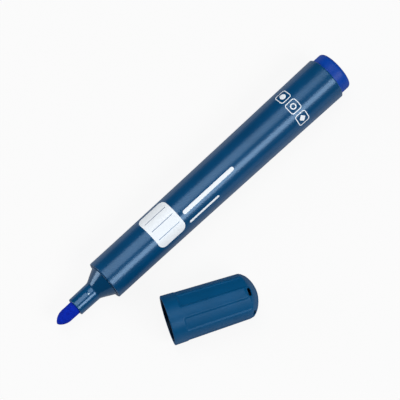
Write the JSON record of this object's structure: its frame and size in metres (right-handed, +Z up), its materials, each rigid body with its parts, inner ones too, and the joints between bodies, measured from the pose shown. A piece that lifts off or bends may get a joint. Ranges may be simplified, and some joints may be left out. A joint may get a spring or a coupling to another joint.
{
  "type": "whiteboard marker",
  "caption": "Whiteboard marker with bullet nib, flared barrel and end plug, lying beside its fluted, vented push-on cap.",
  "frame": {"origin": "centre of the barrel's front end, on the marker's axis, where the cap's seat starts", "axes": "+X along the marker towards its end plug, +Z up from the table that the marker and its cap lie on, +Y to the side away from the cap"},
  "size_m": [0.1324, 0.0526, 0.0176],
  "materials": {
    "barrel_plastic": "satin navy polypropylene",
    "holder_plastic": "satin navy polypropylene",
    "nib_felt": "ink-soaked pressed fibre",
    "core_fibre": "ink-soaked fibre bundle",
    "core_film": "thin clear film",
    "plug_plastic": "glossy royal blue polypropylene",
    "cap_plastic": "satin navy polypropylene",
    "liner_plastic": "soft dark navy polyethylene"
  },
  "bodies": {
    "marker": {"barrel": "barrel_plastic", "nib_holder": "holder_plastic", "nib": "nib_felt", "ink_reservoir": "core_fibre", "reservoir_film": "core_film", "end_plug": "plug_plastic"},
    "cap": {"cap_shell": "cap_plastic", "cap_liner": "liner_plastic"}
  },
  "joints": [
    {"name": "cap_pull", "type": "slide", "parent": "marker", "child": "cap", "axis": [0.9067, -0.4218, 0], "range_m": [0, 0.03]}
  ]
}
